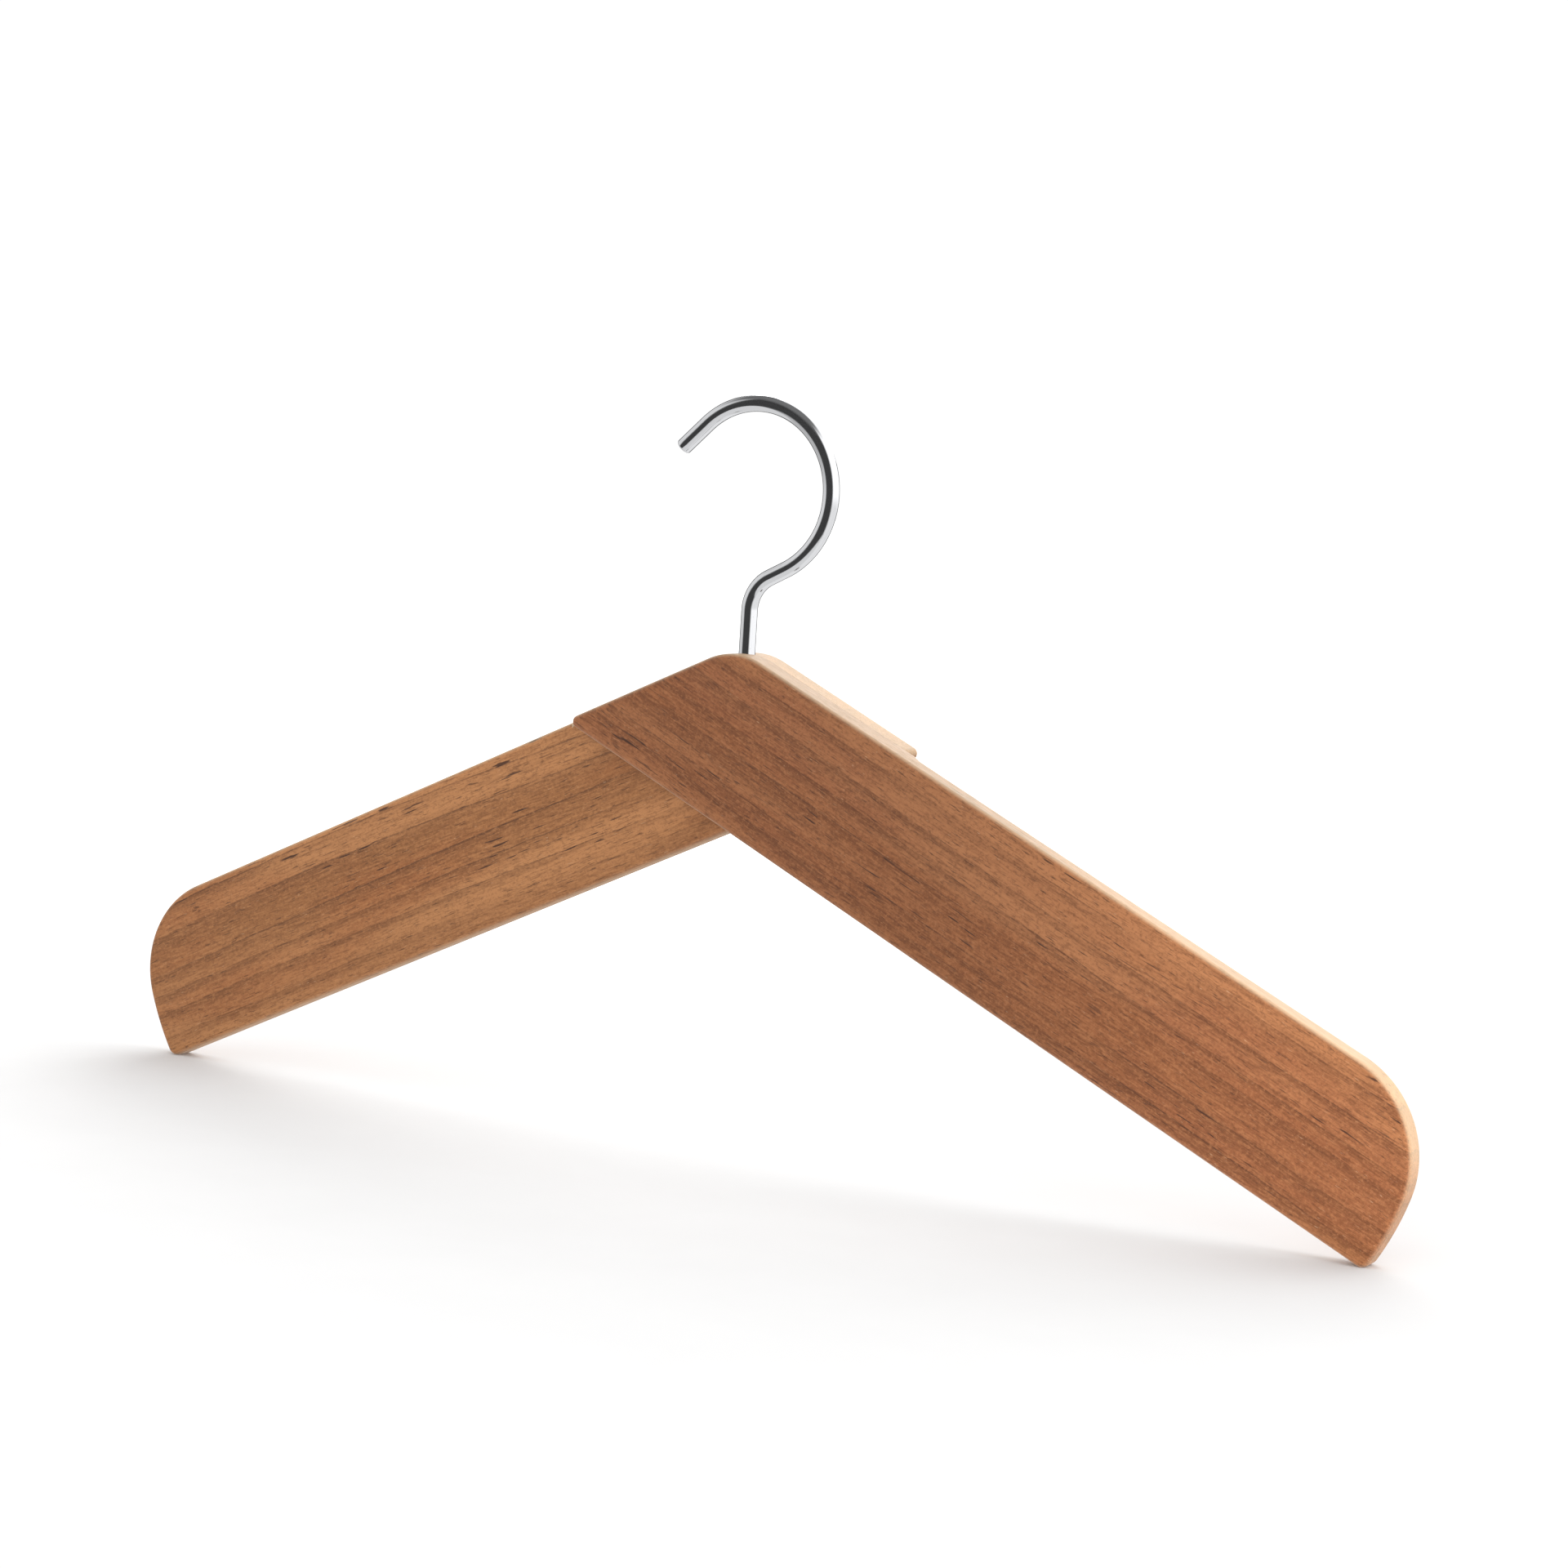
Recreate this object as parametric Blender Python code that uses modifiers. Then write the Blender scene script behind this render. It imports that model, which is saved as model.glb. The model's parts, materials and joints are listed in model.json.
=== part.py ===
"""A wooden coat hanger: two flat boards lapped and dowelled at the middle, and a steel wire hook that swivels.

Run it with blender --background --python part.py, or from Blender's text editor. Metres, +Z up, front towards -Y.
The origin is the rail seat, which is the inside of the hook straight above its stem. Both boards have one outline:
the front board runs down to the right, and the rear board is the same board turned half round about the stem.
"""

import math

import bmesh
import bpy
from mathutils import Vector

# Boards
HANGER_WIDTH = 0.445
BOARD_WIDTH = 0.050
BOARD_THICKNESS = 0.0085
BOARD_SLOPE = math.radians(25.3)  # how far each board drops below level
GLUE_GAP = 0.0003  # between the two lapped faces
ARRIS_RADIUS = 0.0018  # rounding of the long edges
APEX_RADIUS = 0.021  # where the top edge turns over into the cut upper end
SHOULDER_RADIUS = 0.031
SHOULDER_TURN = math.radians(82.75)
END_RADIUS = 0.089  # the flatter outer end, from the shoulder to the tip
TIP_RADIUS = 0.003
CORNER_RADIUS = 0.002  # the pointed corner of the cut upper end
ARRIS_RUN_OUT = 0.003  # outside the lap, over which the rounding of the inner arris fades in

# Hook
WIRE_RADIUS = 0.0025
HOOK_RADIUS = 0.026  # to the middle of the wire
HOOK_OFFSET = -0.0006  # the hook's centre, left of the stem
HOOK_CENTRE_HEIGHT = 0.0468  # above the boards' apex
HOOK_TURN = math.radians(195.5)
HOOK_TIP_LENGTH = 0.0112  # the straight end after the round
NECK_RADIUS = 0.0115
NECK_TURN = math.radians(62.5)
STEM_DEPTH = 0.0300  # from the apex down to the stem's foot

# What holds the hook: a washer and a lock nut in a pocket between the boards
SLIDE_GAP = 0.0003
SCREW_GAP = 0.0002
POCKET_DEPTH = 0.0220  # from the apex to the pocket's shoulder
POCKET_HEIGHT = 0.0090
POCKET_RADIUS = 0.0058
WASHER_RADIUS = 0.0053
WASHER_THICKNESS = 0.0010
NUT_ACROSS_FLATS = 0.0080
NUT_HEX_HEIGHT = 0.0032
NUT_HEIGHT = 0.0050
NUT_COLLAR_RADIUS = 0.00395
NUT_CHAMFER = 0.0004
RING_RADIUS = 0.0033
RING_HEIGHT = 0.0014

# Dowels
DOWEL_RADIUS = 0.0030
DOWEL_LENGTH = 0.0120
DOWEL_CHAMFER = 0.0006
DOWEL_SPREAD = 0.0280  # the outer dowels' distance from the stem's axis
LOW_DOWEL_DEPTH = 0.0430  # from the apex

CUT_MARGIN = 0.002
ROUND_SIDES = 32
SMOOTH_ANGLE = math.radians(35)

# Worked out from the above
APEX_Z = -(HOOK_CENTRE_HEIGHT + HOOK_RADIUS - WIRE_RADIUS)
LAP_HALF_WIDTH = BOARD_WIDTH / (2 * math.sin(BOARD_SLOPE))
LAP_HALF_HEIGHT = BOARD_WIDTH / (2 * math.cos(BOARD_SLOPE))
DOWELS = {
    "dowel_left": (-DOWEL_SPREAD, APEX_Z - LAP_HALF_HEIGHT),
    "dowel_right": (DOWEL_SPREAD, APEX_Z - LAP_HALF_HEIGHT),
    "dowel_low": (0.0, APEX_Z - LOW_DOWEL_DEPTH),
}

MATERIALS = {  # base colour, roughness, metallic
    "front_teak": ((0.27, 0.110, 0.055), 0.55, 0.0),
    "rear_teak": ((0.33, 0.150, 0.070), 0.55, 0.0),
    "beech": ((0.60, 0.42, 0.25), 0.60, 0.0),
    "polished_steel": ((0.62, 0.62, 0.63), 0.18, 1.0),
    "plated_steel": ((0.55, 0.56, 0.58), 0.35, 1.0),
    "nylon": ((0.75, 0.77, 0.80), 0.45, 0.0),
}


class Pen:
    """Draws a flat path from straight runs and round turns, and remembers where it is and which way it heads."""

    def __init__(self, place, heading):
        self.place = Vector(place)
        self.heading = heading
        self.points = [self.place.copy()]

    def forward(self, length):
        self.place += length * Vector((math.cos(self.heading), math.sin(self.heading)))
        self.points.append(self.place.copy())

    def turn(self, radius, angle, steps):
        """Turns left for a positive angle and right for a negative one."""
        side = math.copysign(1.0, angle)
        centre = self.place + side * radius * Vector((-math.sin(self.heading), math.cos(self.heading)))
        for _ in range(steps):
            self.heading += angle / steps
            arm = Vector((math.sin(self.heading), -math.cos(self.heading)))
            self.place = centre + side * radius * arm
            self.points.append(self.place.copy())


def board_outline():
    """The front board's outline in its own plane, clockwise from the apex, as (x, z) with the apex at zero."""
    tip_heading = math.acos(
        (BOARD_WIDTH - TIP_RADIUS - SHOULDER_RADIUS - (END_RADIUS - SHOULDER_RADIUS) * math.cos(SHOULDER_TURN))
        / (TIP_RADIUS - END_RADIUS)
    )
    end_turn = tip_heading - SHOULDER_TURN
    apex_tangent = APEX_RADIUS * math.tan(BOARD_SLOPE)
    corner_tangent = CORNER_RADIUS / math.tan(BOARD_SLOPE)
    top_end_x = HANGER_WIDTH / 2 - SHOULDER_RADIUS * (1 - math.sin(BOARD_SLOPE))
    lap_end = LAP_HALF_WIDTH / math.cos(BOARD_SLOPE)

    down_right = Vector((math.cos(BOARD_SLOPE), -math.sin(BOARD_SLOPE)))
    pen = Pen(apex_tangent * down_right, -BOARD_SLOPE)
    pen.forward(lap_end - apex_tangent)
    pen.forward(ARRIS_RUN_OUT)
    pen.forward(top_end_x / math.cos(BOARD_SLOPE) - lap_end - ARRIS_RUN_OUT)
    pen.turn(SHOULDER_RADIUS, -SHOULDER_TURN, 16)
    pen.turn(END_RADIUS, -end_turn, 4)
    pen.turn(TIP_RADIUS, -(math.pi - tip_heading), 6)
    crossing = Vector((0.0, -2 * LAP_HALF_HEIGHT))
    pen.forward((pen.place - crossing).length - ARRIS_RUN_OUT)
    pen.forward(ARRIS_RUN_OUT)
    corner = Vector((-LAP_HALF_WIDTH, -LAP_HALF_HEIGHT))
    pen.forward((crossing - corner).length - corner_tangent)
    pen.turn(CORNER_RADIUS, -(math.pi - 2 * BOARD_SLOPE), 8)
    pen.forward(BOARD_WIDTH / math.sin(2 * BOARD_SLOPE) - corner_tangent - apex_tangent)
    pen.turn(APEX_RADIUS, -2 * BOARD_SLOPE, 12)
    return pen.points[:-1]


def hook_path():
    """The middle of the hook's wire as (x, z), from the stem's foot to the tip."""
    straight = (
        HOOK_OFFSET + HOOK_RADIUS * math.cos(NECK_TURN) - NECK_RADIUS * (1 - math.cos(NECK_TURN))
    ) / math.sin(NECK_TURN)
    centre_z = APEX_Z + HOOK_CENTRE_HEIGHT
    stem_top = centre_z - (NECK_RADIUS + HOOK_RADIUS) * math.sin(NECK_TURN) - straight * math.cos(NECK_TURN)
    stem_foot = APEX_Z - STEM_DEPTH
    pen = Pen((0.0, stem_foot), math.pi / 2)
    pen.forward(stem_top - stem_foot)
    pen.turn(NECK_RADIUS, -NECK_TURN, 8)
    pen.forward(straight)
    pen.turn(HOOK_RADIUS, HOOK_TURN, 36)
    pen.forward(HOOK_TIP_LENGTH)
    return pen.points


def clear_scene():
    for obj in list(bpy.data.objects):
        bpy.data.objects.remove(obj, do_unlink=True)


def new_collection(name):
    collection = bpy.data.collections.new(name)
    bpy.context.scene.collection.children.link(collection)
    return collection


def new_material(name):
    colour, roughness, metallic = MATERIALS[name]
    material = bpy.data.materials.new(name)
    material.use_nodes = True
    shader = material.node_tree.nodes["Principled BSDF"]
    shader.inputs["Base Color"].default_value = (*colour, 1.0)
    shader.inputs["Roughness"].default_value = roughness
    shader.inputs["Metallic"].default_value = metallic
    return material


def add_object(name, data, collection, material=None, parent=None):
    obj = bpy.data.objects.new(name, data)
    collection.objects.link(obj)
    if material:
        obj.data.materials.append(new_material(material))
    if parent:
        obj.parent = parent
        obj.matrix_parent_inverse = parent.matrix_world.inverted()
    return obj


def add_joint_empty(name, place, collection):
    """An empty on the hook's swivel axis, which the pieces of one body hang from."""
    empty = add_object(name, None, collection)
    empty.location = place
    bpy.context.view_layer.update()
    return empty


def flat_mesh(name, outline, thickness):
    """A flat outline given a thickness, as a mesh with its outline in x and z and its thickness along y."""
    curve = bpy.data.curves.new(name, "CURVE")
    curve.dimensions = "2D"
    curve.fill_mode = "BOTH"
    curve.extrude = thickness / 2
    spline = curve.splines.new("POLY")
    spline.points.add(len(outline) - 1)
    for point, place in zip(spline.points, outline):
        point.co = (place.x, place.y, 0.0, 1.0)
    spline.use_cyclic_u = True
    guide = bpy.data.objects.new(name + "_outline", curve)
    bpy.context.scene.collection.objects.link(guide)
    graph = bpy.context.evaluated_depsgraph_get()
    mesh = bpy.data.meshes.new_from_object(guide.evaluated_get(graph))
    bpy.data.objects.remove(guide)
    mesh.name = name
    shape = bmesh.new()
    shape.from_mesh(mesh)
    bmesh.ops.remove_doubles(shape, verts=shape.verts, dist=1e-6)
    for vertex in shape.verts:
        vertex.co = Vector((vertex.co.x, -vertex.co.z, vertex.co.y))
    shape.normal_update()
    for side in (-1.0, 1.0):
        face = [triangle for triangle in shape.faces if triangle.normal.y * side > 0.9]
        bmesh.ops.dissolve_faces(shape, faces=face)
    bmesh.ops.recalc_face_normals(shape, faces=shape.faces)
    shape.to_mesh(mesh)
    shape.free()
    mesh.shade_smooth()
    mesh.set_sharp_from_angle(angle=SMOOTH_ANGLE)
    return mesh


def mark_arrises(mesh):
    """Marks for the Bevel modifier the outer arris, and the inner one well clear of the other board."""
    weights = mesh.attributes.new("bevel_weight_edge", "FLOAT", "EDGE")
    for edge in mesh.edges:
        first, second = (mesh.vertices[index].co for index in edge.vertices)
        runs_through_board = abs(first.y - second.y) > BOARD_THICKNESS / 2
        if runs_through_board:
            continue
        middle = (first + second) / 2
        depth_in_other_board = middle.x * math.sin(BOARD_SLOPE) - middle.z * math.cos(BOARD_SLOPE)
        if middle.y < 0 or depth_in_other_board > BOARD_WIDTH + ARRIS_RUN_OUT:
            weights.data[edge.index].value = 1.0


def as_cutter(obj, name, collection):
    obj.name = name
    for owner in list(obj.users_collection):
        owner.objects.unlink(obj)
    collection.objects.link(obj)
    obj.hide_render = True
    obj.display_type = "WIRE"
    return obj


def round_cutter(name, radius, low, high, collection, along_y=False):
    """A round cutter that runs from low to high, which lie on one line along Z, or along Y if along_y is set."""
    low, high = Vector(low), Vector(high)
    bpy.ops.mesh.primitive_cylinder_add(
        vertices=ROUND_SIDES, radius=radius, depth=(high - low).length, location=(low + high) / 2
    )
    if along_y:
        bpy.context.object.rotation_euler = (math.pi / 2, 0.0, 0.0)
    return as_cutter(bpy.context.object, name, collection)


def add_boolean(obj, cutter, operation="DIFFERENCE"):
    modifier = obj.modifiers.new(cutter.name, "BOOLEAN")
    modifier.operation = operation
    modifier.solver = "EXACT"
    modifier.object = cutter


def add_bevel(obj, width, segments, limit="ANGLE"):
    modifier = obj.modifiers.new("rounding", "BEVEL")
    modifier.width = width
    modifier.segments = segments
    modifier.limit_method = limit
    modifier.use_clamp_overlap = False


def turned(name, profile, collection, material=None, parent=None):
    """A ring or hollow round piece: a closed profile of (radius, z) points, down its outer side, turned about Z."""
    mesh = bpy.data.meshes.new(name)
    shape = bmesh.new()
    corners = [shape.verts.new((radius, 0.0, z)) for radius, z in profile]
    for first, second in zip(corners, corners[1:] + corners[:1]):
        shape.edges.new((first, second))
    shape.to_mesh(mesh)
    shape.free()
    obj = add_object(name, mesh, collection, material, parent)
    screw = obj.modifiers.new("turn", "SCREW")
    screw.axis = "Z"
    screw.steps = ROUND_SIDES
    screw.render_steps = ROUND_SIDES
    screw.use_merge_vertices = True
    screw.merge_threshold = 0.00001
    return obj


def build_boards(collection, cutters, parent):
    mesh = flat_mesh("board", board_outline(), BOARD_THICKNESS)
    mark_arrises(mesh)
    for vertex in mesh.vertices:
        vertex.co += Vector((0.0, -(BOARD_THICKNESS + GLUE_GAP) / 2, 0.0))
    holes = [
        round_cutter(
            "stem_groove",
            WIRE_RADIUS + SLIDE_GAP,
            (0.0, 0.0, APEX_Z - POCKET_DEPTH - CUT_MARGIN),
            (0.0, 0.0, APEX_Z + CUT_MARGIN),
            cutters,
        ),
        round_cutter(
            "nut_pocket",
            POCKET_RADIUS,
            (0.0, 0.0, APEX_Z - POCKET_DEPTH - POCKET_HEIGHT),
            (0.0, 0.0, APEX_Z - POCKET_DEPTH),
            cutters,
        ),
    ]
    half_hole = DOWEL_LENGTH / 2 + SLIDE_GAP
    for name, (x, z) in DOWELS.items():
        ends = ((x, -half_hole, z), (x, half_hole, z))
        holes.append(round_cutter(name + "_hole", DOWEL_RADIUS + SLIDE_GAP, *ends, cutters, along_y=True))
    for name, turn, teak in (("front_board", 0.0, "front_teak"), ("rear_board", math.pi, "rear_teak")):
        board = add_object(name, mesh.copy(), collection, teak, parent)
        board.location = (0.0, 0.0, APEX_Z)
        board.rotation_euler = (0.0, 0.0, turn)
        add_bevel(board, ARRIS_RADIUS, 4, "WEIGHT")
        for hole in holes:
            add_boolean(board, hole)


def build_dowels(collection, parent):
    for name, (x, z) in DOWELS.items():
        mesh = bpy.data.meshes.new(name)
        shape = bmesh.new()
        bmesh.ops.create_cone(
            shape,
            cap_ends=True,
            segments=ROUND_SIDES,
            radius1=DOWEL_RADIUS,
            radius2=DOWEL_RADIUS,
            depth=DOWEL_LENGTH,
        )
        shape.to_mesh(mesh)
        shape.free()
        mesh.shade_smooth()
        mesh.set_sharp_from_angle(angle=SMOOTH_ANGLE)
        dowel = add_object(name, mesh, collection, "beech", parent)
        dowel.location = (x, 0.0, z)
        dowel.rotation_euler = (math.pi / 2, 0.0, 0.0)
        add_bevel(dowel, DOWEL_CHAMFER, 1)


def build_hook(collection, parent):
    curve = bpy.data.curves.new("hook", "CURVE")
    curve.dimensions = "3D"
    curve.bevel_depth = WIRE_RADIUS
    curve.bevel_resolution = 4
    curve.use_fill_caps = True
    path = hook_path()
    spline = curve.splines.new("POLY")
    spline.points.add(len(path) - 1)
    for point, place in zip(spline.points, path):
        point.co = (place.x, 0.0, place.y, 1.0)
    spline.use_smooth = True
    add_object("hook", curve, collection, "polished_steel", parent)


def build_washer(collection, parent):
    top = APEX_Z - POCKET_DEPTH - SLIDE_GAP
    bottom = top - WASHER_THICKNESS
    bore = WIRE_RADIUS + SLIDE_GAP
    profile = ((bore, top), (WASHER_RADIUS, top), (WASHER_RADIUS, bottom), (bore, bottom))
    turned("washer", profile, collection, "plated_steel", parent)


def build_lock_nut(collection, cutters, parent):
    """The nut's flat face bears on the washer above it, and its nylon ring sits in the round collar below."""
    top = APEX_Z - POCKET_DEPTH - SLIDE_GAP - WASHER_THICKNESS - SLIDE_GAP
    bottom = top - NUT_HEIGHT
    hex_bottom = top - NUT_HEX_HEIGHT
    bore = WIRE_RADIUS + SCREW_GAP
    corner = NUT_ACROSS_FLATS / 2 / math.cos(math.pi / 6)
    recess = RING_RADIUS + SCREW_GAP
    recess_top = bottom + RING_HEIGHT + 2 * SCREW_GAP
    profile = (
        (bore, top),
        (corner - NUT_CHAMFER, top),
        (corner + NUT_CHAMFER, top - NUT_CHAMFER),
        (corner + NUT_CHAMFER, hex_bottom),
        (NUT_COLLAR_RADIUS, hex_bottom),
        (NUT_COLLAR_RADIUS, bottom),
        (recess, bottom),
        (recess, recess_top),
        (bore, recess_top),
    )
    nut = turned("lock_nut", profile, collection, "plated_steel", parent)
    bpy.ops.mesh.primitive_cylinder_add(
        vertices=6, radius=corner, depth=NUT_HEIGHT + 2 * CUT_MARGIN, location=(0.0, 0.0, (top + bottom) / 2)
    )
    hexagon = as_cutter(bpy.context.object, "nut_hexagon", cutters)
    add_boolean(nut, hexagon, "INTERSECT")

    ring_bottom = bottom + SCREW_GAP
    ring_top = ring_bottom + RING_HEIGHT
    ring = ((bore, ring_top), (RING_RADIUS, ring_top), (RING_RADIUS, ring_bottom), (bore, ring_bottom))
    turned("lock_nut_ring", ring, collection, "nylon", parent)


def main():
    clear_scene()
    hanger = new_collection("coat_hanger")
    cutters = new_collection("cutters")
    boards_joint = add_joint_empty("boards_joint", (0.0, 0.0, APEX_Z), hanger)
    hook_joint = add_joint_empty("hook_joint", (0.0, 0.0, 0.0), hanger)
    build_boards(hanger, cutters, boards_joint)
    build_dowels(hanger, boards_joint)
    build_hook(hanger, hook_joint)
    build_washer(hanger, hook_joint)
    build_lock_nut(hanger, cutters, hook_joint)


main()
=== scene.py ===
"""The looks of a wooden coat hanger: two lapped teak boards, and a steel hook that swivels between them.

Metres, +Z up, front towards -Y, and the origin on the rail seat inside the hook. The front board runs down
to the right, and the rear board is the same board turned half round. The boards and the hook are built anew
over their frame nodes, and the hidden dowels and nut keep the frame's shapes.
"""

import json
import math

import bmesh
import bpy
from bpy.props import FloatProperty, FloatVectorProperty, IntProperty, PointerProperty
from mathutils import Matrix, Vector


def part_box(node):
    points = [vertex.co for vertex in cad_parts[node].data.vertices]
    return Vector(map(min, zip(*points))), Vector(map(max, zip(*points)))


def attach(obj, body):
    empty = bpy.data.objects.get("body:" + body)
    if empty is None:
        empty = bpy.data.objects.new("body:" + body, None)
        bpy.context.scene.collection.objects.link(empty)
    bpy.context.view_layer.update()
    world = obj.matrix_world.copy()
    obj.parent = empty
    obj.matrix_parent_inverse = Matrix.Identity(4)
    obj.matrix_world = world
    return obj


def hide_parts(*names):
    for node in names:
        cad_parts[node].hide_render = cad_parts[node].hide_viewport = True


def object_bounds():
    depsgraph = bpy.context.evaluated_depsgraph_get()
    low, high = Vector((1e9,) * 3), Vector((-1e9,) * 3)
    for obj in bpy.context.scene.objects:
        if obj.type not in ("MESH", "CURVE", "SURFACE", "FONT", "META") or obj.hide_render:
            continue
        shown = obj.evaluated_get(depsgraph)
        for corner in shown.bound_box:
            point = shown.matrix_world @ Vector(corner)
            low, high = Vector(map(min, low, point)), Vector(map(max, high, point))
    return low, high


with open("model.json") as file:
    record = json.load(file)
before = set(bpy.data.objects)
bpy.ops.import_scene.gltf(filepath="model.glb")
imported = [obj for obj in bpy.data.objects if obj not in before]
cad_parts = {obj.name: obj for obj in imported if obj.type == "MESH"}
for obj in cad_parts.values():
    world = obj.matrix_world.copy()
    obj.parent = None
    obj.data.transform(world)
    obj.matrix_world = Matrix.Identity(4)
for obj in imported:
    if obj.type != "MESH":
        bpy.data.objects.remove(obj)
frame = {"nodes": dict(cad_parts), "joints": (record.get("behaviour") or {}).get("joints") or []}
CAD_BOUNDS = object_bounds()

bl_info = {
    "name": "Wooden Coat Hanger",
    "version": (1, 0, 0),
    "blender": (4, 5, 0),
    "location": "3D View > Sidebar > Hanger",
    "description": "Builds a lapped teak coat hanger with a steel hook, and a plain studio around it",
    "category": "Object",
}

# Read from the frame
BOARD_LOW, BOARD_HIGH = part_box("front_board")
APEX_Z = frame["joints"][0]["pos_m"][2]  # where the sharp top corner of the boards would be
FLOOR_Z = CAD_BOUNDS[0].z

MERGE_DISTANCE = 0.000001
SMOOTH_ANGLE = math.radians(35)
CUT_MARGIN = 0.002  # how far the groove's cutter reaches past the wood that it cuts
HOLE_SIDES = 48

# Faces along each round turn of a board's outline
SHOULDER_STEPS = 48
END_STEPS = 12
TIP_STEPS = 12
CORNER_STEPS = 14
APEX_STEPS = 28

# Faces round the wire and along its stretches
WIRE_SIDES = 64
RINGS_PER_THREAD = 10
STEM_STEPS = 12
NECK_STEPS = 28
STRAIGHT_STEPS = 4
HOOK_STEPS = 110
TIP_LENGTH_STEPS = 6
RIM_STEPS = 5


# ---------------------------------------------------------------- sizes and colours


def length(name, description, default, low=0.0):
    return FloatProperty(
        name=name, description=description, default=default, min=low, precision=5, unit="LENGTH"
    )


def angle(name, description, degrees):
    return FloatProperty(name=name, description=description, default=math.radians(degrees), unit="ROTATION")


def colour(name, description, default):
    return FloatVectorProperty(
        name=name, description=description, default=default, min=0.0, max=1.0, size=3, subtype="COLOR"
    )


class BoardSizes(bpy.types.PropertyGroup):
    """The shape of one board."""

    half_span: length("Half span", "From the middle to the end of a board, level", BOARD_HIGH.x)
    width: length("Width", "Across the board's face", 0.050)
    slope: angle("Slope", "How far each board drops below level", 25.3)
    face: length("Face", "From the hanger's mid plane to the board's outer face", -BOARD_LOW.y)
    joint: length("Joint", "From the mid plane to the board's inner face", 0.00001)
    arris_radius: length("Arris radius", "Rounding of the long edges", 0.0018)
    arris_steps: IntProperty(name="Arris steps", description="Faces across a rounded edge", default=7, min=1)
    arris_run_out: length("Arris run-out", "Outside the lap, over which the inner rounding fades in", 0.003)
    apex_radius: length("Apex radius", "Where the top edge turns over into the cut upper end", 0.021)
    shoulder_radius: length("Shoulder radius", "The rounded outer shoulder", 0.031)
    shoulder_turn: angle("Shoulder turn", "How far the shoulder turns", 82.75)
    end_radius: length("End radius", "The flatter outer end, from the shoulder to the tip", 0.089)
    tip_radius: length("Tip radius", "The lower outer corner", 0.003)
    corner_radius: length("Corner radius", "The pointed corner of the cut upper end", 0.002)


class FixingSizes(bpy.types.PropertyGroup):
    """The holes and dowels between the boards."""

    groove_radius: length("Groove radius", "The groove that the stem turns in", 0.00262)
    pocket_depth: length("Pocket depth", "From the apex to the top of the nut's pocket", 0.022)
    pocket_height: length("Pocket height", "Height of the nut's pocket", 0.009)
    pocket_radius: length("Pocket radius", "Radius of the nut's pocket", 0.0058)
    dowel_radius: length("Dowel radius", "Radius of a dowel", 0.003)
    dowel_length: length("Dowel length", "Length of a dowel", 0.012)
    dowel_gap: length("Dowel gap", "Glue gap round and beyond a dowel", 0.0003)
    dowel_spread: length("Dowel spread", "From the stem's axis to an outer dowel", 0.028)
    low_dowel_depth: length("Low dowel depth", "From the apex to the lowest dowel", 0.043)


class HookSizes(bpy.types.PropertyGroup):
    """The bent wire."""

    wire_radius: length("Wire radius", "Radius of the wire", 0.0025)
    hook_radius: length("Hook radius", "From the hook's centre to the middle of the wire", 0.026)
    hook_offset: length("Hook offset", "From the stem's axis to the hook's centre", -0.0006, low=-0.01)
    centre_height: length("Centre height", "From the boards' apex to the hook's centre", 0.0468)
    hook_turn: angle("Hook turn", "How far the hook bends round", 195.5)
    tip_length: length("Tip length", "The straight end after the round", 0.0112)
    neck_radius: length("Neck radius", "The bend above the stem", 0.0115)
    neck_turn: angle("Neck turn", "How far the neck bends over", 62.5)
    stem_depth: length("Stem depth", "From the apex down to the stem's foot", 0.030)
    rim_radius: length("Rim radius", "Rounding of the cut tip", 0.0006)
    thread_length: length("Thread length", "The threaded stretch at the stem's foot", 0.009)
    thread_pitch: length("Thread pitch", "From one thread to the next", 0.0008)
    thread_depth: length("Thread depth", "Depth of the thread", 0.0004)


class WoodLook(bpy.types.PropertyGroup):
    """The colours of the teak."""

    front_light: colour("Front light", "Lightest wood of the front board", (0.406, 0.164, 0.062))
    front_mid: colour("Front middle", "Common colour of the front board", (0.276, 0.093, 0.029))
    front_warm: colour("Front warm", "Redder zones of the front board", (0.281, 0.093, 0.033))
    front_dark: colour("Front dark", "Darkest streaks of the front board", (0.122, 0.038, 0.011))
    rear_light: colour("Rear light", "Lightest wood of the rear board", (0.436, 0.191, 0.069))
    rear_mid: colour("Rear middle", "Common colour of the rear board", (0.295, 0.117, 0.036))
    rear_warm: colour("Rear warm", "Redder zones of the rear board", (0.307, 0.105, 0.030))
    rear_dark: colour("Rear dark", "Darkest streaks of the rear board", (0.150, 0.054, 0.016))
    line: colour("Growth line", "The thin dark lines between years of growth", (0.055, 0.020, 0.010))


class StageSizes(bpy.types.PropertyGroup):
    """The camera and the floor."""

    azimuth: angle("Azimuth", "How far the camera stands round to the right", 28.787)
    elevation: angle("Elevation", "How far the camera looks down", 5.603)
    roll: angle("Roll", "How far the camera leans", 3.552)
    distance: length("Distance", "From the camera to what it looks at", 1.082)
    aim: FloatVectorProperty(
        name="Aim",
        description="What the camera looks at",
        default=(0.0155, 0.0, -0.1106),
        subtype="TRANSLATION",
        unit="LENGTH",
    )
    lens: FloatProperty(name="Lens", description="Focal length in millimetres", default=82.7, unit="CAMERA")
    floor_near: length("Floor near", "From the hanger's middle to the sheet's near edge", 0.42)
    floor_far: length("Floor far", "From the hanger's middle to the sheet's far edge", 8.0)
    floor_width: length("Floor width", "Across the sheet, as seen from the camera", 12.0)


# ---------------------------------------------------------------- modelling helpers


def start_clean():
    if bpy.context.mode != "OBJECT":
        bpy.ops.object.mode_set(mode="OBJECT")
    bpy.ops.object.select_all(action="DESELECT")


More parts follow.
